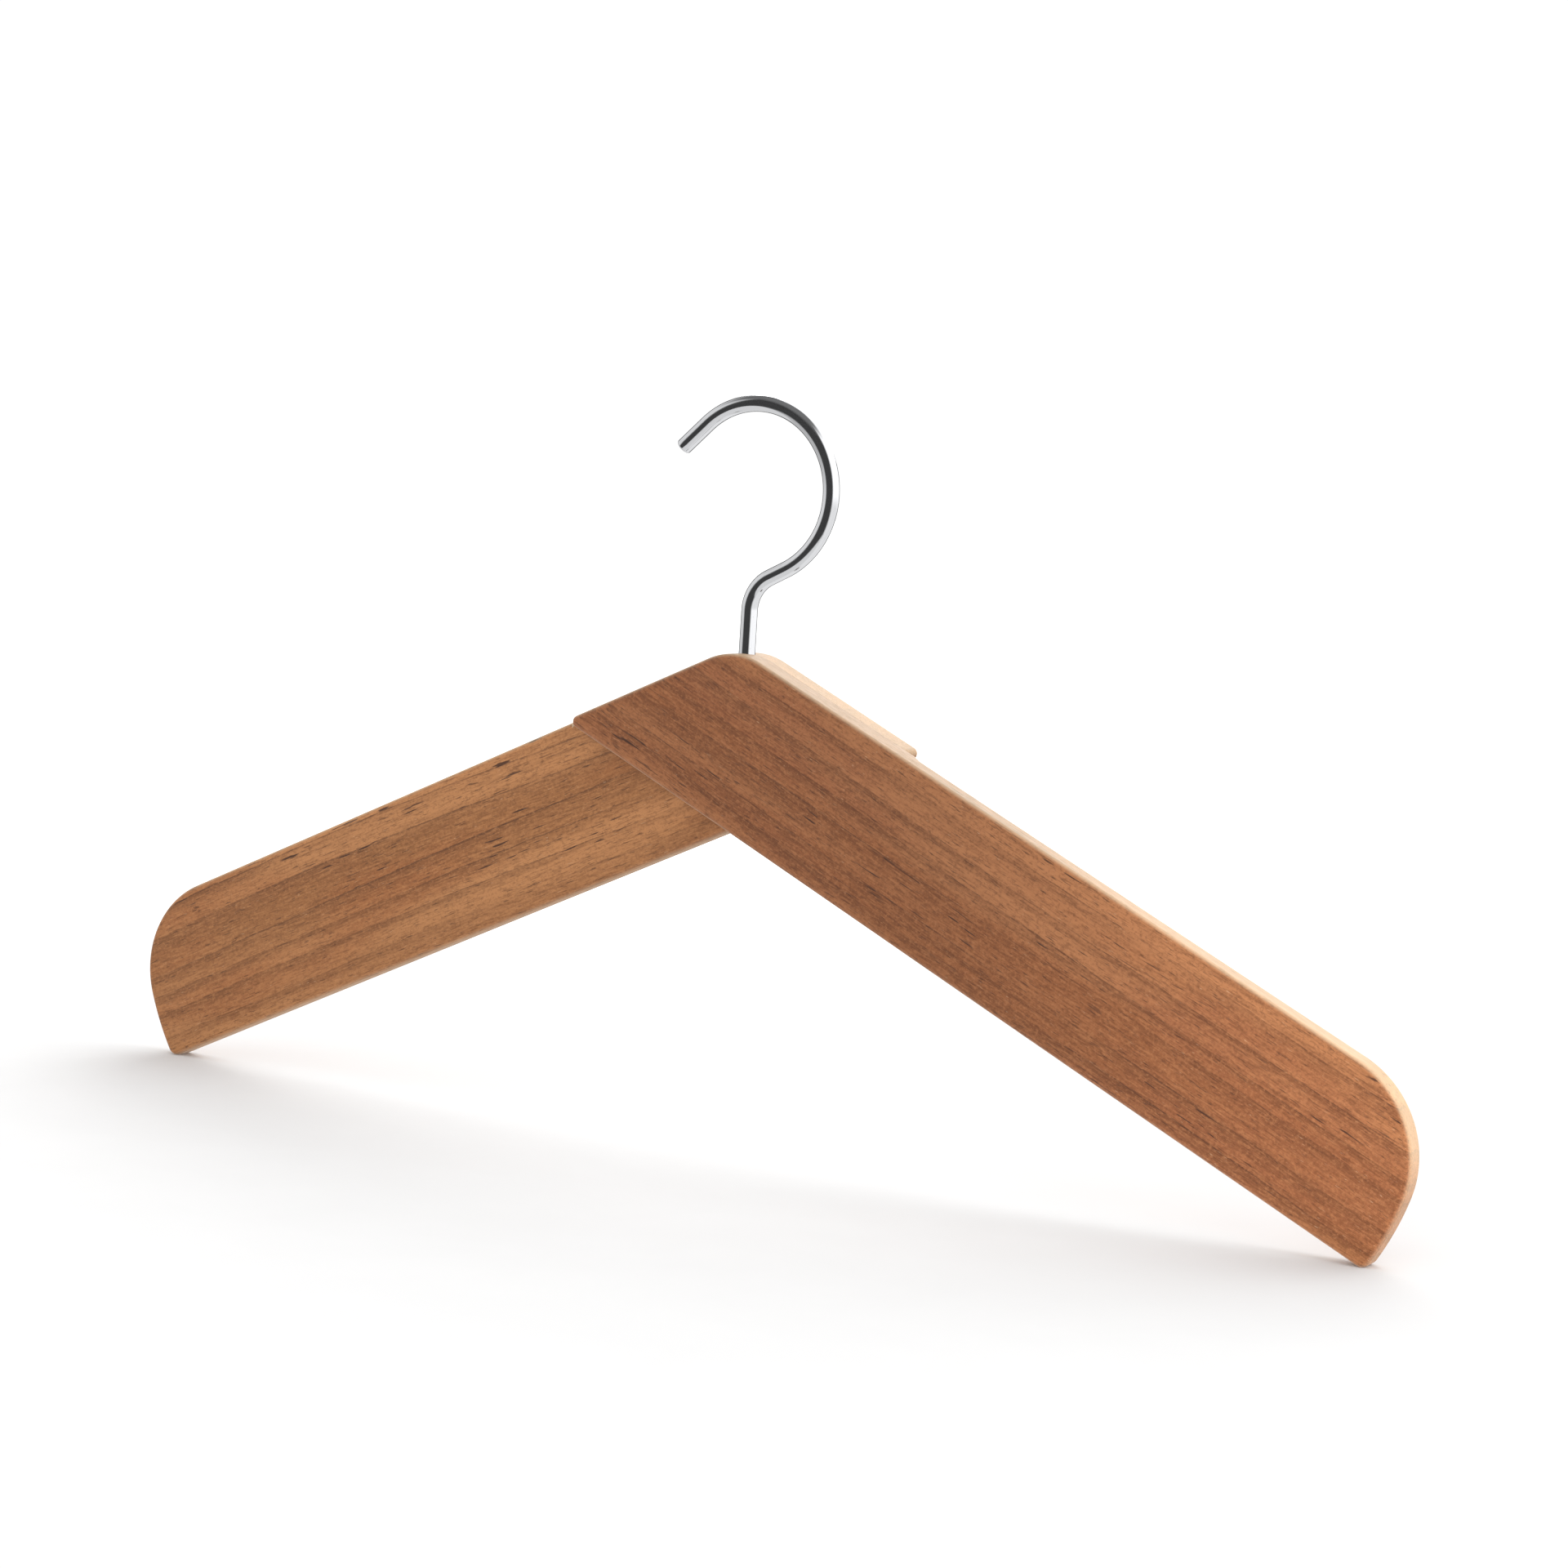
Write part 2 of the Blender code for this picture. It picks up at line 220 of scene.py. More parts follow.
def settle(name):
    """Names the active object, and puts its place and turn into its mesh."""
    piece = bpy.context.object
    piece.name = name
    piece.data.name = name
    bpy.ops.object.transform_apply(location=True, rotation=True, scale=True)
    return piece


def edit(mode="VERT"):
    bpy.ops.object.mode_set(mode="EDIT")
    bpy.ops.mesh.select_mode(type=mode)


def select_edges(piece, wanted):
    """In edit mode, selects the edges for which wanted(edge) is true."""
    bpy.ops.mesh.select_all(action="DESELECT")
    shape = bmesh.from_edit_mesh(piece.data)
    for edge in shape.edges:
        edge.select_set(wanted(edge))
    shape.select_flush_mode()
    bmesh.update_edit_mesh(piece.data)


def finish_shell():
    bpy.ops.mesh.select_all(action="SELECT")
    bpy.ops.mesh.remove_doubles(threshold=MERGE_DISTANCE)
    bpy.ops.mesh.normals_make_consistent(inside=False)
    bpy.ops.object.mode_set(mode="OBJECT")


def smooth(piece):
    """Smooth faces, sharp corners, and flat faces that stay flat beside a rounded edge."""
    start_clean()
    piece.select_set(True)
    bpy.context.view_layer.objects.active = piece
    bpy.ops.object.shade_smooth_by_angle(angle=SMOOTH_ANGLE)
    weighted = piece.modifiers.new("even_shading", "WEIGHTED_NORMAL")
    weighted.keep_sharp = True
    bpy.ops.object.modifier_apply(modifier=weighted.name)


def cut(piece, cutter):
    """Cuts the cutter's shape out of the piece, and removes the cutter."""
    start_clean()
    piece.select_set(True)
    bpy.context.view_layer.objects.active = piece
    boolean = piece.modifiers.new("cut", "BOOLEAN")
    boolean.operation = "DIFFERENCE"
    boolean.solver = "EXACT"
    boolean.object = cutter
    bpy.ops.object.modifier_apply(modifier=boolean.name)
    bpy.data.objects.remove(cutter, do_unlink=True)


class Pen:
    """Draws in edit mode, in the X and Z plane: straight runs by extrude, and round turns by spin.
    It draws a line from one selected vertex, and a tube from a selected ring."""

    def __init__(self, place, heading):
        self.place = Vector(place)
        self.heading = heading
        self.travelled = [0.0]

    def forward(self, distance, steps=1):
        step = distance / steps * Vector((math.cos(self.heading), 0.0, math.sin(self.heading)))
        for _ in range(steps):
            bpy.ops.mesh.extrude_region_move(TRANSFORM_OT_translate={"value": step})
            self.place += step
            self.travelled.append(self.travelled[-1] + step.length)

    def turn(self, radius, turn, steps):
        """Turns left for a positive angle and right for a negative one, as seen from the front."""
        side = math.copysign(1.0, turn)
        to_left = Vector((-math.sin(self.heading), 0.0, math.cos(self.heading)))
        centre = self.place + side * radius * to_left
        bpy.ops.mesh.spin(steps=steps, angle=turn, center=centre, axis=(0.0, 1.0, 0.0))
        self.heading += turn
        to_left = Vector((-math.sin(self.heading), 0.0, math.cos(self.heading)))
        self.place = centre - side * radius * to_left
        arc = radius * abs(turn) / steps
        self.travelled += [self.travelled[-1] + arc * (step + 1) for step in range(steps)]

    def resize(self, factor):
        scale = (factor, factor, factor)
        bpy.ops.transform.resize(value=scale, center_override=self.place)


# ---------------------------------------------------------------- boards


def draw_board_outline(sizes):
    """Draws the front board's outline clockwise from the apex, at the board's outer face."""
    slope = sizes.slope
    lap_half_width = sizes.width / (2 * math.sin(slope))
    lap_half_height = sizes.width / (2 * math.cos(slope))
    tip_heading = math.acos(
        (
            sizes.width
            - sizes.tip_radius
            - sizes.shoulder_radius
            - (sizes.end_radius - sizes.shoulder_radius) * math.cos(sizes.shoulder_turn)
        )
        / (sizes.tip_radius - sizes.end_radius)
    )
    apex_tangent = sizes.apex_radius * math.tan(slope)
    corner_tangent = sizes.corner_radius / math.tan(slope)
    top_end = (sizes.half_span - sizes.shoulder_radius * (1 - math.sin(slope))) / math.cos(slope)
    lap_end = lap_half_width / math.cos(slope)
    down_right = Vector((math.cos(slope), 0.0, -math.sin(slope)))
    apex = Vector((0.0, -sizes.face, APEX_Z))
    corner = apex + Vector((-lap_half_width, 0.0, -lap_half_height))
    crossing = apex + Vector((0.0, 0.0, -2 * lap_half_height))

    start = apex + apex_tangent * down_right
    bpy.ops.mesh.primitive_plane_add(size=sizes.corner_radius, location=start)
    board = settle("front_board_teak")
    edit()
    bpy.ops.mesh.merge(type="CENTER")
    pen = Pen(start, -slope)
    pen.forward(lap_end - apex_tangent)
    pen.forward(sizes.arris_run_out)
    pen.forward(top_end - lap_end - sizes.arris_run_out)
    pen.turn(sizes.shoulder_radius, -sizes.shoulder_turn, SHOULDER_STEPS)
    pen.turn(sizes.end_radius, sizes.shoulder_turn - tip_heading, END_STEPS)
    pen.turn(sizes.tip_radius, tip_heading - math.pi, TIP_STEPS)
    pen.forward((pen.place - crossing).length - sizes.arris_run_out)
    pen.forward(sizes.arris_run_out)
    pen.forward((crossing - corner).length - corner_tangent)
    pen.turn(sizes.corner_radius, 2 * slope - math.pi, CORNER_STEPS)
    pen.forward(sizes.width / math.sin(2 * slope) - corner_tangent - apex_tangent)
    pen.turn(sizes.apex_radius, -2 * slope, APEX_STEPS)
    return board


def is_arris(edge, sizes):
    """True for the outer edges, and for the inner ones well clear of the other board."""
    first, second = (vertex.co for vertex in edge.verts)
    middle = (first + second) / 2
    if abs(first.y - second.y) > sizes.face / 2:
        return False
    depth_in_other_board = middle.x * math.sin(sizes.slope) - (middle.z - APEX_Z) * math.cos(sizes.slope)
    return middle.y < -sizes.face / 2 or depth_in_other_board > sizes.width + sizes.arris_run_out


def model_board(sizes):
    """The front board: its outline filled, thickened, and rounded along its edges."""
    board = draw_board_outline(sizes)
    bpy.ops.mesh.select_all(action="SELECT")
    bpy.ops.mesh.remove_doubles(threshold=MERGE_DISTANCE)
    bpy.ops.mesh.edge_face_add()
    bpy.ops.mesh.extrude_region_move(TRANSFORM_OT_translate={"value": (0.0, sizes.face - sizes.joint, 0.0)})
    bpy.ops.mesh.select_mode(type="EDGE")
    select_edges(board, lambda edge: is_arris(edge, sizes))
    bpy.ops.mesh.bevel(
        offset=sizes.arris_radius,
        segments=sizes.arris_steps,
        profile=0.5,
        affect="EDGES",
        clamp_overlap=False,
    )
    finish_shell()
    return board


def round_hole(radius, low, high):
    """A round cutter from low to high, along Z or along Y."""
    low, high = Vector(low), Vector(high)
    along_y = abs(high.y - low.y) > abs(high.z - low.z)
    start_clean()
    bpy.ops.mesh.primitive_cylinder_add(
        vertices=HOLE_SIDES,
        radius=radius,
        depth=(high - low).length,
        location=(low + high) / 2,
        rotation=(math.pi / 2 if along_y else 0.0, 0.0, 0.0),
    )
    return settle("cutter")


def dowel_places(boards, fixings):
    """The middle of the left, the right and the low dowel."""
    middle_z = APEX_Z - boards.width / (2 * math.cos(boards.slope))
    return (
        Vector((-fixings.dowel_spread, 0.0, middle_z)),
        Vector((fixings.dowel_spread, 0.0, middle_z)),
        Vector((0.0, 0.0, APEX_Z - fixings.low_dowel_depth)),
    )


def cut_fixings(board, boards, fixings):
    """The stem's groove, the nut's pocket and the dowel holes."""
    pocket_top = APEX_Z - fixings.pocket_depth
    groove = ((0.0, 0.0, pocket_top - CUT_MARGIN), (0.0, 0.0, APEX_Z + CUT_MARGIN))
    cut(board, round_hole(fixings.groove_radius, *groove))
    pocket = ((0.0, 0.0, pocket_top - fixings.pocket_height), (0.0, 0.0, pocket_top))
    cut(board, round_hole(fixings.pocket_radius, *pocket))
    reach = Vector((0.0, fixings.dowel_length / 2 + fixings.dowel_gap, 0.0))
    for place in dowel_places(boards, fixings):
        cut(board, round_hole(fixings.dowel_radius + fixings.dowel_gap, place - reach, place + reach))


class HANGER_OT_boards(bpy.types.Operator):
    """Builds the front and the rear board"""

    bl_idname = "hanger.build_boards"
    bl_label = "Boards"

    def execute(self, context):
        sizes = context.scene.hanger_boards
        look = context.scene.hanger_wood
        start_clean()
        front = model_board(sizes)
        cut_fixings(front, sizes, context.scene.hanger_fixings)
        smooth(front)
        start_clean()
        front.select_set(True)
        context.view_layer.objects.active = front
        bpy.ops.object.duplicate()
        context.object.rotation_euler.z = math.pi
        rear = settle("rear_board_teak")
        grain = teak_grain_group()
        front_colours = (look.front_light, look.front_mid, look.front_warm, look.front_dark, look.line)
        rear_colours = (look.rear_light, look.rear_mid, look.rear_warm, look.rear_dark, look.line)
        front_wood = teak("front_teak", grain, front_colours, -sizes.slope, FRONT_CUT, FRONT_PAINTED_LIGHT)
        rear_wood = teak("rear_teak", grain, rear_colours, sizes.slope, REAR_CUT, REAR_PAINTED_LIGHT)
        front.data.materials.append(front_wood)
        rear.data.materials.append(rear_wood)
        for board, node, slot in ((front, "front_board", "front_teak"), (rear, "rear_board", "rear_teak")):
            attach(board, "boards")
            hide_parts(node)
        return {"FINISHED"}


# ---------------------------------------------------------------- hook


def draw_wire(sizes):
    """Draws the wire as rings from the stem's foot to the tip.
    Returns it with each ring's distance from the foot."""
    radius = sizes.wire_radius
    centre_z = APEX_Z + sizes.centre_height
    straight = (
        sizes.hook_offset
        + sizes.hook_radius * math.cos(sizes.neck_turn)
        - sizes.neck_radius * (1 - math.cos(sizes.neck_turn))
    ) / math.sin(sizes.neck_turn)
    stem_top = (
        centre_z
        - (sizes.neck_radius + sizes.hook_radius) * math.sin(sizes.neck_turn)
        - straight * math.cos(sizes.neck_turn)
    )
    foot = Vector((0.0, 0.0, APEX_Z - sizes.stem_depth))
    bpy.ops.mesh.primitive_circle_add(vertices=WIRE_SIDES, radius=radius, location=foot)
    wire = settle("hook_steel")
    edit("EDGE")
    pen = Pen(foot, math.pi / 2)
    threads = round(sizes.thread_length / sizes.thread_pitch)
    pen.forward(sizes.thread_length, threads * RINGS_PER_THREAD)
    pen.forward(stem_top - pen.place.z, STEM_STEPS)
    pen.turn(sizes.neck_radius, -sizes.neck_turn, NECK_STEPS)
    pen.forward(straight, STRAIGHT_STEPS)
    pen.turn(sizes.hook_radius, sizes.hook_turn, HOOK_STEPS)
    pen.forward(sizes.tip_length - sizes.rim_radius, TIP_LENGTH_STEPS)
    ring_radius = radius
    for step in range(RIM_STEPS):
        turn = math.pi / 2 * (step + 1) / RIM_STEPS
        before = math.pi / 2 * step / RIM_STEPS
        pen.forward(sizes.rim_radius * (math.sin(turn) - math.sin(before)))
        new_radius = radius - sizes.rim_radius * (1 - math.cos(turn))
        pen.resize(new_radius / ring_radius)
        ring_radius = new_radius
    return wire, pen.travelled


def cut_thread(wire, sizes):
    """Sinks a right-hand thread into the lowest stretch of the stem, fading out at both its ends."""
    foot_z = APEX_Z - sizes.stem_depth
    for vertex in wire.data.vertices:
        height = vertex.co.z - foot_z
        out = Vector((vertex.co.x, vertex.co.y, 0.0))
        if height > sizes.thread_length or out.length < MERGE_DISTANCE:
            continue
        phase = (height / sizes.thread_pitch - math.atan2(out.y, out.x) / math.tau) % 1.0
        valley = 1.0 - abs(2.0 * phase - 1.0)
        fade = min(1.0, (sizes.thread_length - height) / sizes.thread_pitch)
        lead = sizes.thread_depth * max(0.0, 1.0 - height / sizes.thread_pitch)
        depth = max(lead, sizes.thread_depth * valley * fade)
        vertex.co -= out.normalized() * depth


def store_straight_place(wire, travelled):
    """Stores where each point would be if the wire were straight, so that drawn lines follow its bends."""
    places = wire.data.attributes.new("straight_place", "FLOAT_VECTOR", "POINT")
    for index, vertex in enumerate(wire.data.vertices):
        ring, side = divmod(index, WIRE_SIDES)
        turn = math.tau * side / WIRE_SIDES
        places.data[index].vector = (math.cos(turn), math.sin(turn), travelled[ring])


class HANGER_OT_hook(bpy.types.Operator):
    """Builds the bent steel hook and its threaded stem"""

    bl_idname = "hanger.build_hook"
    bl_label = "Hook"

    def execute(self, context):
        sizes = context.scene.hanger_hook
        start_clean()
        wire, travelled = draw_wire(sizes)
        bpy.ops.object.mode_set(mode="OBJECT")
        if len(wire.data.vertices) != WIRE_SIDES * len(travelled):
            raise RuntimeError("the hook's rings don't match the path that they were drawn along")
        store_straight_place(wire, travelled)
        cut_thread(wire, sizes)
        edit("EDGE")
        select_edges(wire, lambda edge: edge.is_boundary)
        bpy.ops.mesh.fill_holes(sides=WIRE_SIDES)
        finish_shell()
        smooth(wire)
        wire.data.materials.append(polished_steel())
        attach(wire, "hook")
        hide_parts("hook")
        return {"FINISHED"}


# ---------------------------------------------------------------- hidden fixings


class HANGER_OT_fixings(bpy.types.Operator):
    """Gives the dowels, washer, lock nut and nylon ring their finishes"""

    bl_idname = "hanger.build_fixings"
    bl_label = "Dowels and fixings"

    def execute(self, context):
        finishes = {
            beech(): ("dowel_left", "dowel_right", "dowel_low"),
            plated_steel(): ("washer", "lock_nut"),
            nylon(): ("lock_nut_ring",),
        }
        for material, names in finishes.items():
            for name in names:
                slots = frame["nodes"][name].data.materials
                slots.clear()
                slots.append(material)
        return {"FINISHED"}


# ---------------------------------------------------------------- materials

# Teak
TEAK_SHADES = ("Light", "Middle", "Warm", "Dark", "Line")
GLINT = (0.60, 0.38, 0.22, 1.0)  # a pore that catches the light
PAINTED_EDGE_LIGHT = (0.68, 0.54, 0.35, 1.0)  # painted light: paler edges, most of all the upper ones, as if lit from above
FRONT_CUT = (0.31, 0.07, 0.0666)  # which piece of the tree each board was sawn from
REAR_CUT = (1.83, 0.41, 0.213)
FRONT_PAINTED_LIGHT = (0.88, 1.44)  # painted light: the front board's brightness left of the brightening stretch, and right of it
# Painted light on the rear board, a little brighter to the right
REAR_PAINTED_LIGHT = (1.0, 1.05)
PAINTED_LIGHT_FROM = 0.06  # the painted light brightens the wood from here to the next place, to the right of the stem
PAINTED_LIGHT_TO = 0.22
RING_SPACING = 0.0076  # between growth lines, across the board
RING_SLANT = 0.15  # how much the growth rings tilt through the thickness
RING_UNEVENNESS = 0.016
GRAIN_DEPTH = 0.00006
OIL_SHEEN = (1.0, 0.86, 0.66, 1.0)

# The other finishes, each from its darker to its paler shade
STEEL = ((0.60, 0.61, 0.63, 1.0), (0.74, 0.74, 0.75, 1.0))
STEEL_SPECK = (0.30, 0.30, 0.31, 1.0)
BEECH = ((0.55, 0.37, 0.21, 1.0), (0.66, 0.48, 0.30, 1.0))
BEECH_RAY = (0.34, 0.19, 0.10, 1.0)
ZINC = ((0.50, 0.51, 0.54, 1.0), (0.66, 0.66, 0.68, 1.0))
NYLON = ((0.70, 0.73, 0.77, 1.0), (0.82, 0.83, 0.85, 1.0))
SHEET = ((0.70, 0.70, 0.70, 1.0), (0.72, 0.72, 0.72, 1.0))
FAR_SHEET = (0.95, 0.95, 0.95, 1.0)


def add_node(tree, kind, inputs=None, **settings):
    """Adds a node. An input is a socket to link, or a value to set."""
    node = tree.nodes.new(kind)
    for name, value in settings.items():
        setattr(node, name, value)
    for name, value in (inputs or {}).items():
        if isinstance(value, bpy.types.NodeSocket):
            tree.links.new(value, node.inputs[name])
        else:
            node.inputs[name].default_value = value
    return node


def calculate(tree, operation, first, second=0.0, third=0.0):
    return add_node(tree, "ShaderNodeMath", {0: first, 1: second, 2: third}, operation=operation).outputs[0]


def stretched_noise(tree, place, scale, detail=2.0, roughness=0.5):
    """Noise with its own scale along each axis, in waves per metre."""
    stretched = add_node(tree, "ShaderNodeVectorMath", {0: place, 1: scale}, operation="MULTIPLY")
    inputs = {"Vector": stretched.outputs[0], "Scale": 1.0, "Detail": detail, "Roughness": roughness}
    return add_node(tree, "ShaderNodeTexNoise", inputs)


def pushed_aside(tree, place, scale, reach):
    """Moves a place sideways, across the grain, by smooth noise."""
    noise = stretched_noise(tree, place, scale, 1.0).outputs["Color"]
    centred = add_node(tree, "ShaderNodeVectorMath", {0: noise, 1: (0.5, 0.5, 0.5)}, operation="SUBTRACT")
    inputs = {0: centred.outputs[0], 1: (0.0, reach, reach), 2: place}
    return add_node(tree, "ShaderNodeVectorMath", inputs, operation="MULTIPLY_ADD").outputs[0]


def between(tree, value, low, high, to_low=0.0, to_high=1.0):
    """Goes smoothly from one value to the other as the input goes from low to high."""
    inputs = {"Value": value, "From Min": low, "From Max": high, "To Min": to_low, "To Max": to_high}
    return add_node(tree, "ShaderNodeMapRange", inputs, interpolation_type="SMOOTHSTEP").outputs["Result"]


def mix_colour(tree, factor, first, second):
    return add_node(tree, "ShaderNodeMix", {0: factor, 6: first, 7: second}, data_type="RGBA").outputs[2]


def new_group(name, inputs, outputs):
    """A node group with named sockets, given as {name: kind}."""
    tree = bpy.data.node_groups.new(name, "ShaderNodeTree")
    for direction, sockets in (("INPUT", inputs), ("OUTPUT", outputs)):
        for socket, kind in sockets.items():
            tree.interface.new_socket(name=socket, in_out=direction, socket_type="NodeSocket" + kind)
    return tree, add_node(tree, "NodeGroupInput").outputs, add_node(tree, "NodeGroupOutput").inputs


def teak_grain_group():
    """Teak: bands, streaks, growth lines, pores and flecks that run along X of the place that it is given."""
    tree, given, out = new_group(
        "teak_grain",
        {"Place": "Vector", **{shade: "Color" for shade in TEAK_SHADES}},
        {"Colour": "Color", "Roughness": "Float", "Height": "Float"},
    )
    wandering = pushed_aside(tree, given["Place"], (4.0, 6.0, 6.0), 0.007)
    place = pushed_aside(tree, wandering, (45.0, 60.0, 60.0), 0.0008)

    def grain(along, across, detail=1.0, roughness=0.5):
        """Noise with so many waves per metre along the grain, and across it."""
        return stretched_noise(tree, place, (along, across, across), detail, roughness).outputs[0]

    bands = grain(2.5, 55.0)
    hues = grain(9.0, 38.0, 2.0)
    streaks = grain(6.0, 420.0, 3.0, 0.6)
    strands = grain(55.0, 1000.0, 2.0, 0.6)
    fibres = grain(200.0, 2200.0, 2.0, 0.6)
    mottle = grain(1000.0, 1200.0, 3.0, 0.75)
    cluster = grain(14.0, 50.0)
    pores = grain(230.0, 2700.0)
    flecks = grain(80.0, 1200.0)
    glints = grain(420.0, 2900.0)

    apart = add_node(tree, "ShaderNodeSeparateXYZ", {0: place}).outputs
    depth = calculate(tree, "MULTIPLY_ADD", apart["Y"], RING_SLANT, apart["Z"])
    depth = calculate(tree, "MULTIPLY_ADD", grain(2.0, 70.0), RING_UNEVENNESS, depth)
    ring = calculate(tree, "FRACT", calculate(tree, "DIVIDE", depth, RING_SPACING))
    ring_end = between(tree, ring, 0.965, 0.995, 1.0, 0.0)
    late_wood = calculate(tree, "MULTIPLY", between(tree, ring, 0.30, 0.96, 0.0, 0.55), ring_end)
    late_wood = calculate(tree, "MULTIPLY", late_wood, between(tree, hues, 0.38, 0.60, 0.25, 1.0))
    line = calculate(tree, "MULTIPLY", between(tree, ring, 0.90, 0.96), ring_end)
    line = calculate(tree, "MULTIPLY", line, between(tree, cluster, 0.42, 0.64, 0.05, 0.60))

    wood = mix_colour(tree, between(tree, bands, 0.38, 0.62), given["Middle"], given["Light"])
    wood = mix_colour(tree, between(tree, hues, 0.48, 0.66, 0.0, 0.75), wood, given["Warm"])
    wood = mix_colour(tree, between(tree, streaks, 0.52, 0.74, 0.0, 0.45), wood, given["Dark"])
    wood = mix_colour(tree, between(tree, streaks, 0.46, 0.26, 0.0, 0.37), wood, given["Light"])
    wood = mix_colour(tree, late_wood, wood, given["Dark"])
    wood = mix_colour(tree, line, wood, given["Line"])
    for noise, darken, lighten in (
        (strands, (0.50, 0.68, 0.0, 0.20), (0.48, 0.30, 0.0, 0.22)),
        (fibres, (0.50, 0.66, 0.0, 0.42), (0.48, 0.32, 0.0, 0.45)),
        (mottle, (0.50, 0.66, 0.0, 0.42), (0.48, 0.34, 0.0, 0.46)),
    ):
        wood = mix_colour(tree, between(tree, noise, *darken), wood, given["Dark"])
        wood = mix_colour(tree, between(tree, noise, *lighten), wood, given["Light"])
    pore = between(tree, pores, 0.64, 0.74)
    wood = mix_colour(tree, calculate(tree, "MULTIPLY", pore, 0.6), wood, given["Line"])
    fleck = calculate(tree, "MULTIPLY", between(tree, flecks, 0.67, 0.73), between(tree, cluster, 0.52, 0.60))
    wood = mix_colour(tree, calculate(tree, "MULTIPLY", fleck, 0.9), wood, given["Line"])
    wood = mix_colour(tree, between(tree, glints, 0.72, 0.80, 0.0, 0.4), wood, GLINT)
    tree.links.new(wood, out["Colour"])

    rough = between(tree, fibres, 0.3, 0.7, 0.46, 0.60)
    tree.links.new(calculate(tree, "MULTIPLY_ADD", pore, 0.15, rough), out["Roughness"])
    height = calculate(tree, "MULTIPLY_ADD", fibres, -0.6, calculate(tree, "MULTIPLY", pore, -1.0))
    height = calculate(tree, "MULTIPLY_ADD", fleck, -1.5, height)
    tree.links.new(height, out["Height"])
    return tree


def new_material(name, roughness, metallic=0.0):
    material = bpy.data.materials.new(name)
    material.use_nodes = True
    shader = material.node_tree.nodes["Principled BSDF"]
    shader.inputs["Roughness"].default_value = roughness
    shader.inputs["Metallic"].default_value = metallic
    return material, material.node_tree, shader


def bump(tree, shader, height, depth):
    """Raises the surface by a depth in metres where the height is one."""
    node = add_node(tree, "ShaderNodeBump", {"Height": height, "Distance": depth, "Strength": 1.0})
    tree.links.new(node.outputs["Normal"], shader.inputs["Normal"])


def teak(name, grain, colours, slope, cut_place, painted_light):
    """Oiled teak. Its grain runs along a board with that slope. Painted light makes it brighter from left to
    right and its edges paler.
    """
    material, tree, shader = new_material(name, 0.5)
    coordinates = add_node(tree, "ShaderNodeTexCoord").outputs
    place = coordinates["Object"]
    turned = add_node(
        tree, "ShaderNodeMapping", {"Vector": place, "Location": cut_place, "Rotation": (0.0, slope, 0.0)}
    )
    group = add_node(tree, "ShaderNodeGroup", node_tree=grain)
    tree.links.new(turned.outputs[0], group.inputs["Place"])
    for socket, value in zip(TEAK_SHADES, colours):
        group.inputs[socket].default_value = (*value, 1.0)
    facing = add_node(tree, "ShaderNodeSeparateXYZ", {0: coordinates["Normal"]}).outputs
    # Painted light: the edges paler than the faces, most where they face up and least where they face down.
    edge = between(tree, calculate(tree, "ABSOLUTE", facing["Y"]), 0.97, 0.45)
    edge = calculate(tree, "MULTIPLY", edge, between(tree, facing["Z"], -0.5, 0.3, 0.15, 0.42))
    wood = mix_colour(tree, edge, group.outputs["Colour"], PAINTED_EDGE_LIGHT)
    # Painted light: the wood scaled brighter from left to right, as if lit more from the right.
    across = add_node(tree, "ShaderNodeSeparateXYZ", {0: place}).outputs["X"]
    shade = between(tree, across, PAINTED_LIGHT_FROM, PAINTED_LIGHT_TO, *painted_light)
    wood = add_node(tree, "ShaderNodeVectorMath", {0: wood, "Scale": shade}, operation="SCALE").outputs[0]
    tree.links.new(wood, shader.inputs["Base Color"])
    tree.links.new(group.outputs["Roughness"], shader.inputs["Roughness"])
    bump(tree, shader, group.outputs["Height"], depth=GRAIN_DEPTH)
    shader.inputs["Sheen Weight"].default_value = 0.25
    shader.inputs["Sheen Roughness"].default_value = 0.3
    shader.inputs["Sheen Tint"].default_value = OIL_SHEEN
    return material


def polished_steel():
    """Drawn steel wire, polished along its length, with a few specks."""
    material, tree, shader = new_material("polished_steel", 0.12, 1.0)
    place = add_node(tree, "ShaderNodeAttribute", attribute_name="straight_place").outputs["Vector"]
    drawn = stretched_noise(tree, place, (9.0, 9.0, 22.0), 4.0, 0.65).outputs[0]
    speck = stretched_noise(tree, place, (6.0, 6.0, 2400.0), 1.0).outputs[0]
    tint = mix_colour(tree, drawn, *STEEL)
    tint = mix_colour(tree, between(tree, speck, 0.74, 0.80, 0.0, 0.5), tint, STEEL_SPECK)
    tree.links.new(tint, shader.inputs["Base Color"])
    tree.links.new(between(tree, drawn, 0.3, 0.7, 0.07, 0.16), shader.inputs["Roughness"])
    bump(tree, shader, drawn, depth=0.000004)
    return material


def beech():
    """Pale beech with short dark ray flecks."""
    material, tree, shader = new_material("beech", 0.6)
    place = add_node(tree, "ShaderNodeTexCoord").outputs["Object"]
    rays = stretched_noise(tree, place, (3000.0, 500.0, 3000.0), 2.0).outputs[0]
    bands = stretched_noise(tree, place, (500.0, 60.0, 500.0), 2.0).outputs[0]
    wood = mix_colour(tree, bands, *BEECH)
    wood = mix_colour(tree, between(tree, rays, 0.62, 0.72, 0.0, 0.6), wood, BEECH_RAY)
    tree.links.new(wood, shader.inputs["Base Color"])
    bump(tree, shader, rays, depth=0.00004)
    return material


